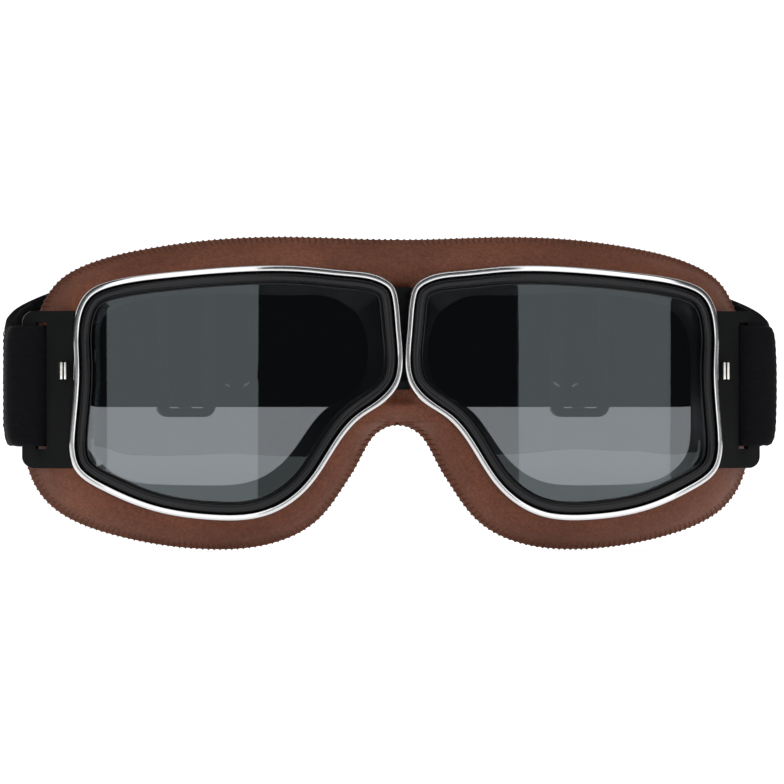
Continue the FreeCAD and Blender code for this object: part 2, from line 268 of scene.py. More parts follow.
def row(outline, depth):
    """Points in space for an outline at a depth."""
    depth = np.broadcast_to(depth, len(outline))
    return np.column_stack([outline[:, 0], wrap_y(outline[:, 0], depth), outline[:, 1]])


def between(a, b, share):
    return a + (b - a) * share


def inward(outline, distance):
    """Moves an outline towards its inside, square to itself."""
    along = np.roll(outline, -2, 0) - np.roll(outline, 2, 0)
    along /= np.maximum(np.linalg.norm(along, axis=1), 1e-9)[:, None]
    square = np.column_stack([along[:, 1], -along[:, 0]])
    if np.sum(square * (CENTRE - outline)) < 0:
        square = -square
    return outline + square * np.reshape(distance, (-1, 1))


# ---------------------------------------------------------------- meshes

def make(name, places, faces, smooth=True, crease=40.0):
    """A mesh object from millimetre places, with its sharp edges marked."""
    mesh = bpy.data.meshes.new(name)
    mesh.from_pydata([tuple(p) for p in np.asarray(places) * MM], [], [tuple(f) for f in faces])
    bm = bmesh.new()
    bm.from_mesh(mesh)
    bmesh.ops.remove_doubles(bm, verts=bm.verts, dist=1e-6)
    bmesh.ops.dissolve_degenerate(bm, edges=bm.edges, dist=1e-7)
    bmesh.ops.recalc_face_normals(bm, faces=bm.faces)
    for face in bm.faces:
        face.smooth = smooth
    for edge in bm.edges:
        if len(edge.link_faces) == 2 and edge.calc_face_angle(0) > math.radians(crease):
            edge.smooth = False
    bm.to_mesh(mesh)
    bm.free()
    obj = bpy.data.objects.new(name, mesh)
    bpy.context.collection.objects.link(obj)
    return obj


def grid_faces(rows, columns, close_rows=False, close_columns=True, start=0):
    """Four-sided faces over rows of points that lie one after another."""
    faces = []
    for j in range(rows if close_rows else rows - 1):
        for i in range(columns if close_columns else columns - 1):
            a = start + j * columns + i
            b = start + j * columns + (i + 1) % columns
            c = start + ((j + 1) % rows) * columns + (i + 1) % columns
            d = start + ((j + 1) % rows) * columns + i
            faces.append((a, b, c, d))
    return faces


def swept(name, rows, side, **more):
    """A closed band from rows of points, closed both ways."""
    places = np.concatenate(rows)
    places[:, 0] *= side
    return make(name, places, grid_faces(len(rows), len(rows[0]), close_rows=True), **more)


def mirrored(name, rows, relax=0, **more):
    """Both halves of a closed band that meets its mirror image on the midplane."""
    one = np.concatenate(rows)
    faces = grid_faces(len(rows), len(rows[0]), close_rows=True)
    faces = [f for f in faces if not all(one[k][0] < 0.02 for k in f)]
    other = one * np.array([-1, 1, 1])
    places = np.concatenate([one, other])
    faces += [tuple(k + len(one) for k in reversed(f)) for f in faces]
    obj = make(name, places, faces, **more)
    if relax:
        bm = bmesh.new()
        bm.from_mesh(obj.data)
        for _ in range(relax):
            near = [v for v in bm.verts if abs(v.co.x) < 5 * MM and not v.is_boundary]
            bmesh.ops.smooth_vert(bm, verts=near, factor=0.5,
                                  use_axis_x=False, use_axis_y=True, use_axis_z=False)
        bm.to_mesh(obj.data)
        bm.free()
    return obj


def tube(path, radius, sides=8, open_ends=True):
    """Places and faces of a round thread along a path, with rounded ends."""
    path = np.asarray(path, float)
    along = np.gradient(path, axis=0)
    along /= np.linalg.norm(along, axis=1)[:, None]
    helper = np.array([0.31, 0.53, 0.79])
    first = np.cross(along, helper)
    first /= np.linalg.norm(first, axis=1)[:, None]
    second = np.cross(along, first)
    rows = []
    count = len(path)
    for k in range(count):
        size = radius * (0.55 if open_ends and k in (0, count - 1) else 1.0)
        for i in range(sides):
            turn = 2 * math.pi * i / sides
            rows.append(path[k] + size * (math.cos(turn) * first[k] + math.sin(turn) * second[k]))
    faces = grid_faces(count, sides)
    faces.append(tuple(range(sides))[::-1])
    faces.append(tuple((count - 1) * sides + i for i in range(sides)))
    return rows, faces


def mirrored_parts(parts):
    return [([np.array(p) * np.array([-1, 1, 1]) for p in some], [tuple(reversed(f)) for f in its])
            for some, its in parts]


def joined(name, parts, **more):
    """One mesh from many parts, each of them places and faces."""
    places = []
    faces = []
    for some, its in parts:
        start = len(places)
        places += list(some)
        faces += [tuple(k + start for k in f) for f in its]
    return make(name, places, faces, **more)


# ---------------------------------------------------------------- materials

class Shader:
    """A Principled material and short ways to add nodes to it."""

    def __init__(self, name, color, rough, metal=0.0, **sockets):
        self.material = bpy.data.materials.new(name)
        self.material.use_nodes = True
        self.tree = self.material.node_tree
        self.main = self.tree.nodes["Principled BSDF"]
        self.main.inputs["Base Color"].default_value = (*color, 1)
        self.main.inputs["Roughness"].default_value = rough
        self.main.inputs["Metallic"].default_value = metal
        for socket, value in sockets.items():
            self.main.inputs[socket.replace("_", " ")].default_value = value
        self.place = None

    def node(self, kind, **values):
        made = self.tree.nodes.new("ShaderNode" + kind)
        for key, value in values.items():
            if key in made.inputs:
                made.inputs[key].default_value = value
            else:
                setattr(made, key, value)
        return made

    def link(self, a, b):
        self.tree.links.new(a, b)

    def object_place(self):
        if self.place is None:
            self.place = self.node("TexCoord").outputs["Object"]
        return self.place

    def noise(self, scale, detail=4.0, rough=0.55, stretch=None):
        made = self.node("TexNoise", Scale=scale, Detail=detail, Roughness=rough)
        source = self.object_place()
        if stretch:
            mapping = self.node("Mapping")
            mapping.inputs["Scale"].default_value = stretch
            self.link(source, mapping.inputs["Vector"])
            source = mapping.outputs["Vector"]
        self.link(source, made.inputs["Vector"])
        return made.outputs["Fac"]

    def cells(self, scale, feature="DISTANCE_TO_EDGE", random=1.0):
        made = self.node("TexVoronoi", feature=feature, Scale=scale, Randomness=random)
        self.link(self.object_place(), made.inputs["Vector"])
        return made.outputs["Distance"]

    def ramp(self, source, *stops):
        made = self.node("ValToRGB")
        made.color_ramp.elements[0].position, first = stops[0][0], stops[0][1]
        made.color_ramp.elements[0].color = (*first, 1) if len(first) == 3 else first
        made.color_ramp.elements[1].position, last = stops[-1][0], stops[-1][1]
        made.color_ramp.elements[1].color = (*last, 1)
        for position, color in stops[1:-1]:
            made.color_ramp.elements.new(position).color = (*color, 1)
        self.link(source, made.inputs["Fac"])
        return made.outputs["Color"]

    def span(self, source, low, high, start=0.0, end=1.0):
        made = self.node("MapRange")
        made.inputs["From Min"].default_value = start
        made.inputs["From Max"].default_value = end
        made.inputs["To Min"].default_value = low
        made.inputs["To Max"].default_value = high
        self.link(source, made.inputs["Value"])
        return made.outputs["Result"]

    def mix(self, share, a, b, mode="MIX"):
        made = self.node("Mix", data_type="RGBA", blend_type=mode)
        if isinstance(share, float):
            made.inputs["Factor"].default_value = share
        else:
            self.link(share, made.inputs["Factor"])
        for key, value in (("A", a), ("B", b)):
            socket = [s for s in made.inputs if s.name == key and s.type == "RGBA"][0]
            if isinstance(value, tuple):
                socket.default_value = (*value, 1)
            else:
                self.link(value, socket)
        return [s for s in made.outputs if s.type == "RGBA"][0]

    def color(self, source):
        self.link(source, self.main.inputs["Base Color"])

    def roughness(self, source):
        self.link(source, self.main.inputs["Roughness"])

    def bump(self, *layers):
        """Layers are (height, strength, distance in mm), laid over one another."""
        normal = None
        for height, strength, distance in layers:
            made = self.node("Bump", Strength=strength, Distance=distance * MM)
            self.link(height, made.inputs["Height"])
            if normal is not None:
                self.link(normal, made.inputs["Normal"])
            normal = made.outputs["Normal"]
        self.link(normal, self.main.inputs["Normal"])
        return self


def chrome():
    s = Shader("chrome", (0.58, 0.58, 0.59), 0.07, 1.0)
    s.roughness(s.span(s.noise(420, 5), 0.045, 0.12))
    s.color(s.mix(s.noise(60, 3), (0.56, 0.56, 0.57), (0.63, 0.63, 0.635)))
    return s.bump((s.noise(900, 3, 0.6, (1, 1, 6)), 0.04, 0.02), (s.noise(55, 2), 0.05, 0.15)).material


def nickel():
    s = Shader("nickel", (0.86, 0.85, 0.80), 0.3, 1.0)
    s.roughness(s.span(s.noise(800, 4), 0.24, 0.38))
    return s.bump((s.noise(1800, 3), 0.06, 0.02)).material


def gloss_rubber():
    s = Shader("gloss_rubber", (0.005, 0.005, 0.006), 0.13, Specular_IOR_Level=0.22)
    s.color(s.mix(s.noise(180, 3), (0.0035, 0.0038, 0.0045), (0.007, 0.0073, 0.0085)))
    s.roughness(s.span(s.noise(700, 5), 0.16, 0.30))
    return s.bump((s.noise(2600, 3), 0.10, 0.02), (s.noise(240, 2), 0.08, 0.08)).material


def cup_rubber():
    s = Shader("cup_rubber", (0.03, 0.031, 0.034), 0.5)
    s.color(s.mix(s.noise(120, 4), (0.024, 0.025, 0.028), (0.042, 0.043, 0.047)))
    s.roughness(s.span(s.noise(500, 4), 0.42, 0.62))
    return s.bump((s.noise(1800, 4), 0.25, 0.05)).material


def tab_rubber():
    s = Shader("tab_rubber", (0.004, 0.0044, 0.0046), 0.5, Specular_IOR_Level=0.08)
    s.color(s.mix(s.noise(90, 4), (0.0028, 0.0031, 0.0033), (0.006, 0.0064, 0.0066)))
    s.roughness(s.span(s.noise(600, 5), 0.40, 0.58))
    return s.bump((s.cells(1500), 0.22, 0.05), (s.noise(300, 3), 0.15, 0.10)).material


def smoked_lens():
    s = Shader("smoked_lens", (0.140, 0.149, 0.158), 0.0, Transmission_Weight=1.0, IOR=1.49,
               Specular_Tint=(0.84, 0.97, 1.0, 1.0))
    return s.bump((s.noise(16, 1), 0.012, 0.3)).material


LEATHER_DARK = (0.064, 0.019, 0.009)
LEATHER_MID = (0.130, 0.043, 0.023)
LEATHER_LIT = (0.215, 0.082, 0.045)


def leather():
    s = Shader("brown_leather", LEATHER_MID, 0.6, Specular_IOR_Level=0.16)
    broad = s.ramp(s.noise(34, 5, 0.6), (0.30, LEATHER_DARK), (0.52, LEATHER_MID), (0.74, LEATHER_LIT))
    speck = s.ramp(s.noise(900, 5, 0.7), (0.34, (0.45, 0.42, 0.40)), (0.62, (1.0, 1.0, 1.0)))
    pores = s.ramp(s.cells(1100), (0.0, (0.55, 0.52, 0.5)), (0.16, (1.0, 1.0, 1.0)))
    tone = s.mix(0.55, broad, LEATHER_MID)
    tone = s.mix(0.55, tone, speck, "MULTIPLY")
    s.color(s.mix(0.45, tone, pores, "MULTIPLY"))
    s.roughness(s.span(s.noise(300, 5), 0.50, 0.74))
    creases = (s.noise(120, 4), 0.25, 0.30)
    grain = (s.cells(1100), 0.35, 0.09)
    nap = (s.noise(3000, 3), 0.2, 0.04)
    return s.bump(creases, grain, nap).material


def thread():
    s = Shader("brown_thread", (0.075, 0.028, 0.016), 0.7, Specular_IOR_Level=0.25)
    s.color(s.mix(s.noise(900, 3), (0.050, 0.018, 0.010), (0.105, 0.038, 0.021)))
    return s.bump((s.noise(5000, 2), 0.4, 0.05)).material


def black_thread():
    s = Shader("black_thread", (0.02, 0.02, 0.022), 0.65, Sheen_Weight=0.2)
    s.color(s.mix(s.noise(900, 3), (0.014, 0.014, 0.016), (0.035, 0.035, 0.038)))
    return s.bump((s.noise(5000, 2), 0.4, 0.05)).material


def elastic():
    s = Shader("woven_elastic", (0.003, 0.003, 0.004), 0.85, Sheen_Weight=0.012, Sheen_Roughness=0.5,
               Specular_IOR_Level=0.06)
    weave = s.noise(1400, 2, 0.5, (0.35, 0.35, 1.6))
    fuzz = s.noise(4200, 4, 0.7)
    s.color(s.mix(weave, (0.0016, 0.0016, 0.0024), (0.0048, 0.0048, 0.0062)))
    s.roughness(s.span(fuzz, 0.75, 0.95))
    return s.bump((weave, 0.5, 0.10), (fuzz, 0.5, 0.06)).material


def lining():
    s = Shader("lining_knit", (0.018, 0.018, 0.02), 0.9, Sheen_Weight=0.3, Sheen_Roughness=0.4)
    knit = s.cells(1500, "F1", 0.55)
    s.color(s.mix(s.span(knit, 0, 1, 0.0, 0.7), (0.026, 0.026, 0.029), (0.010, 0.010, 0.012)))
    return s.bump((knit, 0.6, 0.15), (s.noise(260, 4), 0.3, 0.25)).material


def slider_plastic():
    s = Shader("slider_plastic", (0.012, 0.012, 0.013), 0.42)
    s.color(s.mix(s.noise(250, 3), (0.009, 0.009, 0.010), (0.018, 0.018, 0.019)))
    s.roughness(s.span(s.noise(1500, 4), 0.34, 0.52))
    return s.bump((s.noise(3500, 3), 0.3, 0.03)).material


def floor_paper():
    s = Shader("floor_paper", (0.9, 0.9, 0.9), 0.9, Emission_Color=(1, 1, 1, 1), Emission_Strength=0.55)
    s.color(s.mix(s.noise(3, 3), (0.88, 0.88, 0.88), (0.91, 0.91, 0.91)))
    return s.material


MATERIALS = {
    "chrome": chrome(), "nickel": nickel(), "seal": gloss_rubber(), "cup": cup_rubber(), "tab": tab_rubber(),
    "lens": smoked_lens(), "leather": leather(), "thread": thread(), "black_thread": black_thread(),
    "elastic": elastic(), "lining": lining(), "slider": slider_plastic(), "floor": floor_paper(),
}


def finished(obj, material, slot, *nodes):
    """Gives a mesh its material, and hides the nodes that it stands for. The slot argument is not used."""
    obj.data.materials.clear()
    obj.data.materials.append(MATERIALS[material])
    if nodes:
        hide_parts(*nodes)
    return obj


# ---------------------------------------------------------------- rims, seals and lenses

RIM_INSIDE = on_rays(min(RIM_LOOPS, key=lambda l: (np.ptp(l[:, 0]).round(0), l[:, 1].min())))
RIM_WALL = float(np.median(np.linalg.norm(RIM_EDGE - RIM_INSIDE, axis=1)))
BAND = float(np.median(np.linalg.norm(RIM_EDGE - CLEAR_EDGE, axis=1)))     # rim and seal together
RIM_SHARE = RIM_WALL / BAND
RIM_CROWN = 0.4 * RIM_WALL                      # height of the bead's shoulders


def band_row(share, depth):
    """A row across the band from the rim's edge (0) to the clear lens (1)."""
    return row(between(RIM_EDGE, CLEAR_EDGE, share), depth)


def rim_rows():
    """A chrome bead with a broad flat crown and round shoulders, on a straight band."""
    rows = [band_row(0, RIM_BACK), band_row(0, RIM_BACK * 0.6)]
    steps = 16
    for k in range(steps + 1):
        across = -math.cos(math.pi * k / steps)
        rows.append(band_row(RIM_SHARE * (1 + across) / 2, RIM_CROWN * abs(across) ** 7))
    rows += [band_row(RIM_SHARE, RIM_BACK * 0.6), band_row(RIM_SHARE, RIM_BACK)]
    return rows


# (place across the seal from the rim to the lens, depth in mm)
SEAL_PROFILE = [
    (0.02, 3.4), (0.02, 1.75), (0.06, 1.45), (0.10, 1.05), (0.16, 0.72), (0.25, 0.50), (0.36, 0.42),
    (0.50, 0.48), (0.60, 0.62), (0.645, 0.70), (0.675, 0.62), (0.71, 0.60), (0.745, 0.72), (0.765, 1.0),
    (0.775, 1.7), (0.80, 2.0), (0.84, 2.0), (0.865, 1.72), (0.91, 1.62), (0.96, 1.72), (0.99, 2.0),
    (1.0, 2.38),
]


def seal_rows():
    """The ridged seal, with a groove round the lens's edge."""
    rows = [band_row(RIM_SHARE + (1 - RIM_SHARE) * across, depth) for across, depth in SEAL_PROFILE]
    back = LENS_BACK + 0.05
    lip = LENS_FRONT - 0.02
    rows += [row(between(CLEAR_EDGE, LENS_EDGE, 0.9), lip), row(between(CLEAR_EDGE, LENS_EDGE, 1.04), lip),
             row(between(CLEAR_EDGE, LENS_EDGE, 1.04), back), row(CLEAR_EDGE, back),
             row(CLEAR_EDGE, RIM_BACK - 0.15), band_row(RIM_SHARE + 0.01, RIM_BACK - 0.15)]
    return rows


def lens_mesh(name, side):
    """A wrapped pane: rings of points from the centre on both faces, joined round the edge."""
    rings = 14
    rounding = 0.12             # of the pane's edge
    rows = []
    for k in range(rings, 0, -1):
        rows.append(row(between(CENTRE, LENS_EDGE, k / rings * 0.997), LENS_FRONT))
    front = np.concatenate(rows[::-1])
    back = front.copy()
    back[:, 1] = wrap_y(front[:, 0], LENS_BACK)
    edge = row(LENS_EDGE, LENS_FRONT + rounding)
    edge_back = row(LENS_EDGE, LENS_BACK - rounding)
    count = AROUND
    tip = row(CENTRE[None, :], LENS_FRONT)
    tip_back = row(CENTRE[None, :], LENS_BACK)
    places = np.concatenate([front, edge, edge_back, back, tip, tip_back])
    places[:, 0] *= side
    base = (rings + 2) * count

    def joined_rings(a, b):
        return [(a + i, a + (i + 1) % count, b + (i + 1) % count, b + i) for i in range(count)]

    faces = grid_faces(rings, count)
    faces += joined_rings((rings - 1) * count, rings * count)
    faces += joined_rings(rings * count, (rings + 1) * count)
    faces += joined_rings((rings + 1) * count, base + (rings - 1) * count)
    faces += [tuple(reversed(f)) for f in grid_faces(rings, count, start=base)]
    centre = base + rings * count
    faces += [(i, centre, (i + 1) % count) for i in range(count)]
    faces += [(base + (i + 1) % count, centre + 1, base + i) for i in range(count)]
    return make(name, places, faces)


def cup_rows():
    """The black flange behind the rim and the wall of the eye cup."""
    flange_back = RIM_BACK + 2.1
    outer_opening = inward(OPENING, -1.3)
    wall_front = band_row(1.0, LENS_BACK + 0.25)
    rows = [wall_front, band_row(0.78, LENS_BACK + 0.25), band_row(0.78, RIM_BACK + 0.05),
            band_row(0.14, RIM_BACK + 0.05), band_row(0.12, RIM_BACK + 0.25),
            band_row(0.12, flange_back - 0.2), band_row(0.14, flange_back)]
    back = SEAT - 1.4
    for share in (0.0, 0.25, 0.5, 0.75, 1.0):
        outline = between(between(RIM_EDGE, CLEAR_EDGE, 0.72), outer_opening, share)
        rows.append(row(outline, between(flange_back, back, share)))
    for share in (1.0, 0.8, 0.6, 0.4, 0.2, 0.0):
        outline = between(CLEAR_EDGE, OPENING, share ** 0.85)
        rows.append(row(outline, between(LENS_BACK + 1.6, back, share)))
    return rows


def eyes():
    for side, sign in SIDES.items():
        eye = side + "_eye"
        rim = finished(swept(side + "_rim_band", rim_rows(), sign), "chrome", "chrome", side + "_rim")
        seal = finished(swept(side + "_seal_ring", seal_rows(), sign), "seal", "black_rubber",
                        side + "_lens_seal")
        lens = finished(lens_mesh(side + "_smoked_lens", sign), "lens", "smoked_lens", side + "_lens")
        cup = finished(swept(side + "_eye_cup", cup_rows(), sign), "cup", "black_rubber", side + "_eye_frame")
        for piece in (rim, seal, lens, cup):
            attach(piece, eye)


# ---------------------------------------------------------------- leather mask, stitching and face cushion

LEATHER_SKIN = 1.1
ACROSS = 14                 # rows of the leather between the rim and its outer edge
HEM = 0.9                   # radius of the leather's rolled edge
ROLL = 0.7                  # how far the roll stands out beyond the last row
MASK_EDGE, AT_NOSE = to_midplane(LEATHER_EDGE)
MASK_EDGE = inward(MASK_EDGE, np.where(AT_NOSE, 0, ROLL))
MASK_EDGE[AT_NOSE, 1] = np.clip(MASK_EDGE[AT_NOSE, 1], MASK_EDGE[AT_NOSE, 1].min() + ROLL,
                                MASK_EDGE[AT_NOSE, 1].max() - ROLL)
NOSE_TOP = MASK_EDGE[AT_NOSE, 1].max()
NOSE_BOTTOM = MASK_EDGE[AT_NOSE, 1].min()
# which way the edge rolls where it crosses the midplane: up, down, or not at all between the two
NOSE_OUT = np.where(AT_NOSE & (MASK_EDGE[:, 1] > NOSE_TOP - 0.01), 1.0, 0.0)
NOSE_OUT[AT_NOSE & (MASK_EDGE[:, 1] < NOSE_BOTTOM + 0.01)] = -1.0
MIDDLE_Z = 14               # between the leather above the nose and the leather under it
MASK_FRONT = RIM_BACK + 0.55
MASK_BACK = LEATHER_BACK - HEM


def height_at(outline, x, upper):
    """Height of an outline's upper or lower side at this distance from the midplane."""
    side = outline[(outline[:, 1] > MIDDLE_Z) == upper]
    side = side[(side[:, 0] > 0.2) & (side[:, 0] < 40)]
    side = side[np.argsort(side[:, 0])]
    return np.interp(x, side[:, 0], side[:, 1])


def swelling(share, width):
    """The padding's rise across the leather, and the stitched groove inside its edge."""
    puff = np.minimum(1.7, width * 0.17) * np.sin(math.pi * np.clip(share, 0, 1)) ** 0.75
    groove = 0.28 * np.exp(-((1 - share) * width - 1.3) ** 2 / 0.22)
    return puff - groove


def nose_depth(places):
    """Depth of the leather over the nose, by height between the rims' line and the leather's edge."""
    x, z = places[:, 0], places[:, 1]
    upper = z > MIDDLE_Z
    reach = np.maximum(x, 6.0)
    rims = np.where(upper, height_at(RIM_EDGE, reach, True) - 0.35 * (6 - np.minimum(x, 6.0)),
                    height_at(RIM_EDGE, np.maximum(x, 3.5), False) - 0.1)
    edge = np.where(upper, height_at(MASK_EDGE, x, True), height_at(MASK_EDGE, x, False))
    share = np.clip((z - rims) / (edge - rims), 0, 1)
    between_rims = smooth_step(z, -4.0, -0.5) * (1 - smooth_step(z, 25.0, 29.0))
    depth = MASK_FRONT + 0.7 + (MASK_BACK - MASK_FRONT - 0.7) * share ** 1.25
    return depth - swelling(share, np.abs(edge - rims)) * smooth_step(share, 0, 0.3) + 2.6 * between_rims


MASK_START = 0.10           # where the leather starts, from the rim's edge (0) to the clear lens (1)
HEM_WIDTH = 2.4


def edge_moved(distance):
    """The mask's edge moved outwards, along the midplane where it crosses the nose."""
    outline = inward(MASK_EDGE, np.where(AT_NOSE, 0.0, -distance))
    outline[AT_NOSE, 0] = 0
    outline[AT_NOSE, 1] = MASK_EDGE[AT_NOSE, 1] + distance * NOSE_OUT[AT_NOSE]
    return outline


def mask_rows():
    """The leather's outside, its rolled edge, its hem and its inside, as rows round the eye."""
    edge_flat = np.where(AT_NOSE & (NOSE_OUT == 0), 0.0, 1.0)
    end = np.where(AT_NOSE, nose_depth(MASK_EDGE), MASK_BACK)
    tuck = between(RIM_EDGE, CLEAR_EDGE, MASK_START)
    width = np.linalg.norm(MASK_EDGE - tuck, axis=1)
    skin = []
    under = []
    for k in range(ACROSS + 1):
        share = k / ACROSS
        outline = between(tuck, MASK_EDGE, share)
        depth = between(MASK_FRONT, MASK_BACK, share ** 1.1) - swelling(share, width)
        over_nose = 1 - smooth_step(outline[:, 0], 1.0, 11.0)
        if k < ACROSS:
            over_nose = over_nose * smooth_step(share, 0, 0.25)
        depth = between(depth, nose_depth(outline), over_nose)
        if k == ACROSS:
            depth = end
        depth = np.maximum(depth, MASK_FRONT * 0.98)
        skin.append(row(outline, depth))
        under.append(row(outline, depth + LEATHER_SKIN))
    roll = []
    for turn in (30, 60, 90, 120, 150, 180):
        out = ROLL * math.sin(math.radians(turn))
        back = HEM * (1 - math.cos(math.radians(turn)))
        roll.append(row(edge_moved(out), end + back * edge_flat))
    hem = edge_moved(-HEM_WIDTH)
    hem_row = row(hem, end + 2 * HEM * edge_flat)
    last = row(hem, end + (2 * HEM - 0.5) * edge_flat + (1 - edge_flat) * LEATHER_SKIN)
    return skin, roll, hem_row, [last] + under[-2::-1]


def mask():
    skin, roll, hem_row, under = mask_rows()
    obj = mirrored("leather_mask", skin + roll + [hem_row] + under, relax=6, crease=60)
    finished(obj, "leather", "brown_leather",
             "left_leather", "right_leather", "left_cushion", "right_cushion")
    return obj, skin, roll, hem_row


STITCH_PITCH = 1.5
STITCH_RADIUS = 0.2
STITCH_SLANT = 0.7          # how far a stitch leans, as a share of the pitch


def edge_stitches(skin, roll, hem_row):
    """Whip stitches over the leather's edge, from just inside it to its back."""
    pitch = STITCH_PITCH
    radius = STITCH_RADIUS
    rows = [skin[-3], skin[-2], skin[-1]] + roll + [between(roll[-1], hem_row, 0.6)]
    order = np.arange(AROUND)
    turn = np.roll(order, -int(np.argmax(AT_NOSE & ~np.roll(AT_NOSE, -1))) - 1)
    chain = [i for i in turn if not AT_NOSE[i]]
    rows = np.array([r[chain] for r in rows])
    edge = rows[5]
    run = np.concatenate([[0], np.cumsum(np.linalg.norm(np.diff(edge, axis=0), axis=1))])
    count = int(run[-1] / pitch)
    steps = len(rows)
    parts = []
    for n in range(count + 1):
        centre = (n + 0.5) * run[-1] / (count + 1)
        slant = STITCH_SLANT * pitch
        path = []
        for k in range(steps):
            at = np.clip(centre + slant * (k / (steps - 1) - 0.5), 0, run[-1])
            place = np.array([np.interp(at, run, rows[k][:, c]) for c in range(3)])
            ahead = np.array([np.interp(min(at + 0.4, run[-1]), run, rows[k][:, c]) for c in range(3)])
            behind = np.array([np.interp(max(at - 0.4, 0), run, rows[k][:, c]) for c in range(3)])
            path.append((place, ahead - behind))
        places = np.array([p for p, _ in path])
        over = np.gradient(places, axis=0)
        outward = np.cross(over, np.array([t for _, t in path]))
        outward /= np.linalg.norm(outward, axis=1)[:, None] + 1e-9
        middle = places.mean(axis=0)
        if np.sum(outward * (places - middle)) < 0:
            outward = -outward
        lift = radius * np.array([-1.2] + [0.35] * (steps - 2) + [-0.8])
        parts.append(tube(places + outward * lift[:, None], radius, 6))
    obj = joined("edge_stitching", parts + mirrored_parts(parts), crease=70)
    return finished(obj, "thread", "brown_leather")


def face_cushion():
    """The lined foam ring that rests on the face."""
    edge = inward(MASK_EDGE, np.where(AT_NOSE, 0, 1.5))
    edge[AT_NOSE, 0] = 0
    front = LEATHER_BACK - 1.2
    seat = SEAT - 0.5
    rows = []
    inner = inward(OPENING, -0.2)
    inside_to_crown = (
        (0.02, front), (0.0, front + 0.8), (0.01, seat - 0.25), (0.04, seat + 0.15), (0.10, seat + 0.5),
        (0.20, seat + 0.85), (0.35, seat + 1.1), (0.5, seat + 1.15), (0.65, seat + 1.05))
    crown_to_edge = (
        (0.80, seat + 0.75), (0.90, seat + 0.45), (0.96, seat + 0.1), (1.0, seat - 0.35),
        (1.0, front + 0.5), (0.98, front))
    for share, depth in inside_to_crown:
        rows.append(row(between(inner, edge, share), depth))
    for share, depth in crown_to_edge:
        at_nose = seat + 0.95 if depth > front + 0.6 else front
        at_edge = np.where(AT_NOSE, at_nose, depth)
        rows.append(row(between(inner, edge, share), at_edge))
    for share in (0.75, 0.5, 0.25):
        rows.append(row(between(inner, edge, share), front))
    obj = mirrored("face_cushion", rows, crease=70)
    finished(obj, "lining", "lining", "left_face_lining", "right_face_lining")
    return obj


def across_nose(obj):
    """Bakes the world transform of a piece that spans both eyes over the nose into its mesh."""
    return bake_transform(obj)


def nose_web():
    """The black web behind the gap between the rims."""
    low, high = box_mm("nose_bridge")
    half = 4.2
    columns = 17
    rows = 40
    front = []
    back = []
    for j in range(rows + 1):
        z = low[2] + (high[2] - low[2]) * j / rows
        round_end = math.sqrt(max(0.0, 1 - (2 * j / rows - 1) ** 8))
        for i in range(columns):
            u = 2 * i / (columns - 1) - 1
            x = half * u * (0.55 + 0.45 * round_end)
            rib = 0.22 * math.cos(z * 2 * math.pi / 3.2)
            depth = RIM_BACK + 0.75 + 1.1 * u * u - rib * (1 - u * u)
            front.append((x, float(wrap_y(x, depth)), z))
            back.append((x, float(wrap_y(x, depth + 1.6)), z))
    count = (rows + 1) * columns
    faces = grid_faces(rows + 1, columns, close_columns=False)
    faces += [tuple(reversed(f)) for f in grid_faces(rows + 1, columns, close_columns=False, start=count)]
    border = list(range(columns))
    border += [j * columns + columns - 1 for j in range(1, rows + 1)]
    border += [rows * columns + i for i in range(columns - 2, -1, -1)]
    border += [j * columns for j in range(rows - 1, 0, -1)]
    for a, b in zip(border, border[1:] + border[:1]):
        faces.append((a, b, b + count, a + count))
    obj = make("nose_web", front + back, faces, crease=50)
    return finished(obj, "tab", "black_rubber", "nose_bridge")


def soft_parts():
    obj, skin, roll, hem_row = mask()
    across_nose(obj)
    across_nose(edge_stitches(skin, roll, hem_row))
    across_nose(face_cushion())
    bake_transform(nose_web())


# ---------------------------------------------------------------- tabs, clasps, strap, sliders

def bevelled(node, width, material, segments=3):
    """A CAD node with softened edges and a material, its shape left as it is."""
    obj = frame["nodes"][node]
    obj.data.materials.clear()
    obj.data.materials.append(MATERIALS[material])
    weld = obj.modifiers.new("weld", "WELD")
    weld.merge_threshold = 2e-6
    bevel = obj.modifiers.new("soft_edges", "BEVEL")
    bevel.width = width * MM
    bevel.segments = segments
    bevel.limit_method = "ANGLE"
    bevel.angle_limit = math.radians(40)
    bevel.harden_normals = False
    return obj


LOOP_LOW, LOOP_HIGH = box_mm("left_strap_loop")
RUN_LOW, RUN_HIGH = box_mm("left_strap_run")
SWING = [j for j in frame["record"]["behaviour"]["joints"] if j["name"] == "left_strap_swing"][0]
AXIS = np.array(SWING["pos_m"]) / MM
STRAP_THICK = RUN_HIGH[1] - RUN_LOW[1]
STRAP_WIDE = RUN_HIGH[2] - RUN_LOW[2]
STRAP_RADIUS = LOOP_HIGH[0] - AXIS[0] - STRAP_THICK / 2     # middle of the strap round the tab's bar
RUN_Y = (RUN_LOW[1] + RUN_HIGH[1]) / 2
RUN_Z = (RUN_LOW[2] + RUN_HIGH[2]) / 2
LOOP_Z = LOOP_LOW[2] + STRAP_WIDE / 2
TAIL_X = LOOP_HIGH[0] - STRAP_THICK / 2
RUN_START = RUN_HIGH[0] + 0.3                               # where the corner meets the back run
TURN_RADIUS = 17.0


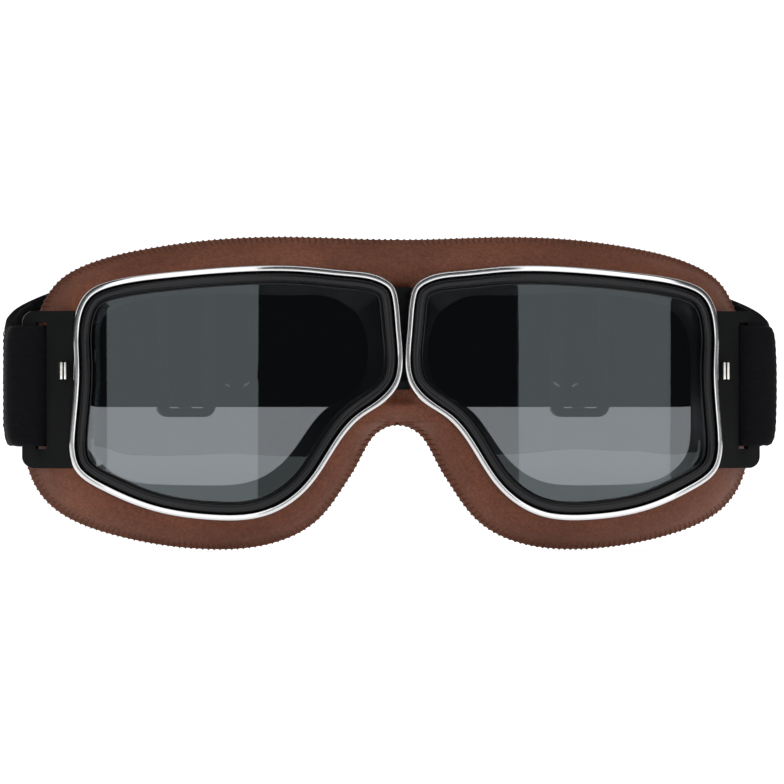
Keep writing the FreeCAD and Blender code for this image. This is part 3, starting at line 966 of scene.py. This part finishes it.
def curve_through(points, step=0.6):
    """An open smooth curve through given points, evenly spaced."""
    points = np.asarray(points, float)
    padded = np.vstack([2 * points[0] - points[1], points, 2 * points[-1] - points[-2]])
    fine = []
    for i in range(1, len(padded) - 2):
        p0, p1, p2, p3 = padded[i - 1:i + 3]
        for u in np.arange(0, 1, 0.05):
            fine.append(0.5 * (2 * p1 + (p2 - p0) * u + (2 * p0 - 5 * p1 + 4 * p2 - p3) * u * u
                               + (3 * p1 - p0 - 3 * p2 + p3) * u ** 3))
    fine.append(points[-1])
    fine = np.array(fine)
    run = np.concatenate([[0], np.cumsum(np.linalg.norm(np.diff(fine, axis=0), axis=1))])
    at = np.linspace(0, run[-1], max(2, int(run[-1] / step)))
    return np.column_stack([np.interp(at, run, fine[:, k]) for k in range(3)])


RIBS = 15                   # woven ribs across the strap


def ribbon(name, path, side, curl=None):
    """Flat elastic webbing along a path in plan, upright, with raised ribs and rounded edges.

    curl gives how far the webbing's edges draw in at each point of the path."""
    along = np.gradient(path[:, :2], axis=0)
    along /= np.linalg.norm(along, axis=1)[:, None]
    square = np.column_stack([along[:, 1], -along[:, 0]])
    half = STRAP_THICK / 2
    tall = STRAP_WIDE / 2
    profile = []
    per_rib = 5
    for face in (1, -1):
        for k in range(RIBS * per_rib + 1):
            v = -1 + 2 * k / (RIBS * per_rib)
            ripple = 0.10 * (1 - math.cos(2 * math.pi * k / per_rib)) / 2
            edge = 1 - 0.55 * max(0.0, (abs(v) - 0.955) / 0.045) ** 2
            profile.append((face * (half * edge - ripple), face * v * (tall - 0.05)))
    count = len(profile)
    places = []
    for n, (x, y, z) in enumerate(path):
        drawn = 0.0 if curl is None else curl[n]
        for across, up in profile:
            v = up / tall
            sink = drawn * (0.35 * v * v + 0.65 * abs(v) ** 9)
            uneven = 0.07 * noise.noise(Vector((n * 0.12, up * 0.16, side * 3.0)))
            shift = across + uneven - sink
            height = up * (1 - 0.012 * drawn * v * v)
            places.append((x + square[n, 0] * shift, y + square[n, 1] * shift, z + height))
    places = np.array(places)
    places[:, 0] *= side
    faces = grid_faces(len(path), count)
    half_count = count // 2
    for start, flip in ((0, False), ((len(path) - 1) * count, True)):
        for k in range(half_count - 1):
            face = (start + k, start + k + 1, start + count - 2 - k, start + count - 1 - k)
            faces.append(tuple(reversed(face)) if flip else face)
    return make(name, places, faces, crease=65)


def loop_path():
    """From the sewn end behind the tab, through the slot, round the bar and back to the run."""
    inner_radius = TURN_RADIUS - STRAP_THICK * 1.08
    turn_x = TAIL_X - TURN_RADIUS
    turn_y = RUN_Y - TURN_RADIUS
    rise = RUN_Z - LOOP_Z

    def corner(radius, angle):
        a = math.radians(angle)
        return (turn_x + radius * math.cos(a), turn_y + radius * math.sin(a), LOOP_Z + rise * angle / 90)

    points = [corner(inner_radius, a) for a in (50, 35, 20, 8)]
    leg_x = AXIS[0] - STRAP_RADIUS
    points += [(AXIS[0] + 2.0, AXIS[1] + 6.6, LOOP_Z), (leg_x + 2.3, AXIS[1] + 4.3, LOOP_Z),
               (leg_x + 0.35, AXIS[1] + 1.9, LOOP_Z)]
    for a in range(180, 361, 30):
        points.append((AXIS[0] + STRAP_RADIUS * math.cos(math.radians(a)),
                       AXIS[1] + STRAP_RADIUS * math.sin(math.radians(a)), LOOP_Z))
    points += [(TAIL_X, (AXIS[1] + turn_y) / 2, LOOP_Z)]
    points += [corner(TURN_RADIUS, a) for a in (0, 15, 30, 45, 60, 75, 90)]
    points.append((RUN_START, RUN_Y, RUN_Z))
    return curve_through(points)


def tack_stitches(side, sign):
    """A box of stitches that sews the strap's end to its outer run."""
    turn_x = TAIL_X - TURN_RADIUS
    turn_y = RUN_Y - TURN_RADIUS
    rise = RUN_Z - LOOP_Z
    parts = []
    surface = TURN_RADIUS + STRAP_THICK / 2 + 0.02

    def place(angle, up, lift):
        a = math.radians(angle)
        radius = surface + lift
        return (turn_x + radius * math.cos(a), turn_y + radius * math.sin(a), LOOP_Z + rise * angle / 90 + up)

    def seam(points):
        for a, b in zip(points, points[1:]):
            mid = [(p + q) / 2 for p, q in zip(a, b)]
            parts.append(tube([place(*between(np.array(a), np.array(mid), 0.2), -0.15), place(*mid, 0.1),
                               place(*between(np.array(mid), np.array(b), 0.8), -0.15)], 0.17, 6))

    reach = STRAP_WIDE / 2 - 3.0
    for angle in (14.0, 22.0, 40.0):
        seam([(angle, up) for up in np.linspace(-reach, reach, 15)])
    for up in (-reach, reach):
        seam([(angle, up) for angle in np.linspace(22.0, 40.0, 4)])
    seam([(angle, up) for angle, up in zip(np.linspace(22, 40, 15), np.linspace(-reach, reach, 15))])
    seam([(angle, up) for angle, up in zip(np.linspace(22, 40, 15), np.linspace(reach, -reach, 15))])
    if sign < 0:
        parts = mirrored_parts(parts)
    obj = joined(side + "_strap_tack", parts, crease=70)
    return finished(obj, "black_thread", "elastic")


CLASP_LEAF = 0.62
CLASP_SLIT = 0.34
LEVELS = ((-1, 0.22), (-0.98, 0.08), (-0.93, 0), (-0.4, 0), (0.4, 0), (0.93, 0), (0.98, 0.08), (1, 0.22))


def plate(name, sign, start, width, front, back, middle_z, height):
    """An upright plate with rounded corners and softened ends."""
    around = 16
    middle_x = start + width / 2
    half = (back - front) / 2
    corner = min(width, 2 * half) * 0.35
    rows = []
    for level, shrink in LEVELS:
        ring = []
        for k in range(around):
            turn = 2 * math.pi * (k + 0.5) / around
            c, d = math.cos(turn), math.sin(turn)
            x = math.copysign(width / 2 - corner, c) + corner * c * (1 - shrink)
            y = math.copysign(half - corner, d) + corner * d * (1 - shrink)
            ring.append((sign * (middle_x + x), front + half + y, middle_z + level * height / 2))
        rows.append(ring)
    faces = grid_faces(len(rows), around)
    faces += [tuple(range(around)), tuple(range(around * (len(rows) - 1), around * len(rows)))]
    return make(name, np.concatenate(rows), faces, crease=50)


def clasp(side, sign):
    """Two upright leaves, side by side, on a foot that runs back under the rim's edge."""
    low, high = box_mm("left_rim_clasp")
    back = high[1] - 0.3
    middle_z = (low[2] + high[2]) / 2
    tall = high[2] - low[2]
    outer = high[0] - 0.2 - CLASP_LEAF
    inner = high[0] - 0.2 - 2 * CLASP_LEAF - CLASP_SLIT
    for name, start in (("_clasp_leaf_inner", inner), ("_clasp_leaf_outer", outer)):
        leaf = plate(side + name, sign, start, CLASP_LEAF, low[1] - 0.1, back, middle_z, tall - 0.3)
        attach(finished(leaf, "nickel", "chrome"), side + "_eye")
    foot = plate(side + "_clasp_foot", sign, low[0] + 0.2, high[0] - low[0] - 0.4, high[1] - 1.6, back,
                 middle_z, tall - 1.2)
    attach(finished(foot, "tab", "tab_rubber", side + "_rim_clasp"), side + "_eye")


def straps():
    path = loop_path()
    run = np.concatenate([[0], np.cumsum(np.linalg.norm(np.diff(path, axis=0), axis=1))])
    bend = int(np.argmin(np.hypot(path[:, 0] - TAIL_X, path[:, 1] - AXIS[1])))
    curl = 1.5 * np.exp(-((run - run[bend]) / 11.0) ** 2)
    for side, sign in SIDES.items():
        loop = finished(ribbon(side + "_strap_end_loop", path, sign, curl), "elastic", "elastic",
                        side + "_strap_loop")
        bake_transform(loop)
        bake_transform(tack_stitches(side, sign))
        clasp(side, sign)
        bevelled(side + "_side_tab", 0.45, "tab")
        bevelled(side + "_slider", 0.5, "slider")
    run = [(x, RUN_Y, RUN_Z) for x in np.linspace(-RUN_START, RUN_START, 12)]
    back = finished(ribbon("strap_back_run", curve_through(run), 1.0), "elastic", "elastic",
                    "left_strap_run", "strap_middle", "right_strap_run")
    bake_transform(back)


# ---------------------------------------------------------------- studio

def area_light(name, azimuth, elevation, distance, width, height, radiance):
    """A softbox aimed at the goggles. Azimuth 0 is in front, positive towards +X."""
    a, e = math.radians(azimuth), math.radians(elevation)
    away = Vector((math.sin(a) * math.cos(e), -math.cos(a) * math.cos(e), math.sin(e)))
    data = bpy.data.lights.new(name, "AREA")
    data.shape = "RECTANGLE"
    data.size = width
    data.size_y = height
    data.energy = radiance * width * height * math.pi
    light = bpy.data.objects.new(name, data)
    light.location = away * distance
    light.rotation_mode = "QUATERNION"
    light.rotation_quaternion = away.to_track_quat("Z", "Y")
    bpy.context.collection.objects.link(light)
    return light


def studio():
    """A white floor that sweeps up behind, two tall softboxes, a top light and an even world."""
    mesh = bpy.data.meshes.new("floor_sweep")
    floor_z = CAD_BOX[0].z - 0.0005
    places = []
    columns = 9
    half_width = 7.0
    flat_part = [(y, 0.0) for y in (-7.5, -5.0, -2.5, 0.0, 2.5, 5.0, 6.0)]
    profile = flat_part + [(6.6, 0.03), (7.1, 0.2), (7.4, 0.5), (7.6, 1.1), (7.7, 2.2), (7.7, 5.0)]
    for y, z in profile:
        for i in range(columns):
            places.append((half_width * (2 * i / (columns - 1) - 1), y, floor_z + z))
    faces = grid_faces(len(profile), columns, close_columns=False)
    mesh.from_pydata(places, [], faces)
    floor = bpy.data.objects.new("floor_sweep", mesh)
    bpy.context.collection.objects.link(floor)
    for face in mesh.polygons:
        face.use_smooth = True
    floor.data.materials.append(MATERIALS["floor"])

    area_light("softbox_right", 37.3, 12, 1.3, 0.60, 1.5, 1.7)
    area_light("softbox_left", -29.2, 12, 1.3, 0.57, 1.5, 1.7)
    area_light("top_light", 0, 78, 1.2, 1.4, 1.0, 1.6)

    world = bpy.data.worlds.new("studio")
    world.use_nodes = True
    bpy.context.scene.world = world
    tree = world.node_tree
    ground = tree.nodes["Background"]
    ground.inputs["Color"].default_value = (0.95, 0.97, 1.0, 1)
    ground.inputs["Strength"].default_value = 0.08
    white = tree.nodes.new("ShaderNodeBackground")
    white.inputs["Color"].default_value = (1, 1, 1, 1)
    white.inputs["Strength"].default_value = 0.55
    rays = tree.nodes.new("ShaderNodeLightPath")
    mixed = tree.nodes.new("ShaderNodeMixShader")
    tree.links.new(rays.outputs["Is Glossy Ray"], mixed.inputs["Fac"])
    tree.links.new(white.outputs[0], mixed.inputs[1])
    tree.links.new(ground.outputs[0], mixed.inputs[2])
    tree.links.new(mixed.outputs[0], tree.nodes["World Output"].inputs["Surface"])
    scene = bpy.context.scene
    scene.view_settings.view_transform = "Standard"
    scene.view_settings.look = "None"


def camera():
    """Level, a little to the image's left of straight ahead."""
    data = bpy.data.cameras.new("camera")
    data.lens = 900
    data.sensor_width = 36
    cam = bpy.data.objects.new("camera", data)
    bpy.context.collection.objects.link(cam)
    view_width = 0.1987
    distance = view_width * data.lens / data.sensor_width
    azimuth = math.radians(-6)
    aim = Vector((-0.0027, FRONT_Y * MM + 0.004, 0.0004))
    away = Vector((math.sin(azimuth), -math.cos(azimuth), 0.0))
    cam.location = aim + away * distance
    cam.rotation_mode = "QUATERNION"
    cam.rotation_quaternion = away.to_track_quat("Z", "Y")
    data.clip_start = 0.5
    data.clip_end = 20
    bpy.context.scene.camera = cam


eyes()
soft_parts()
straps()
studio()
camera()
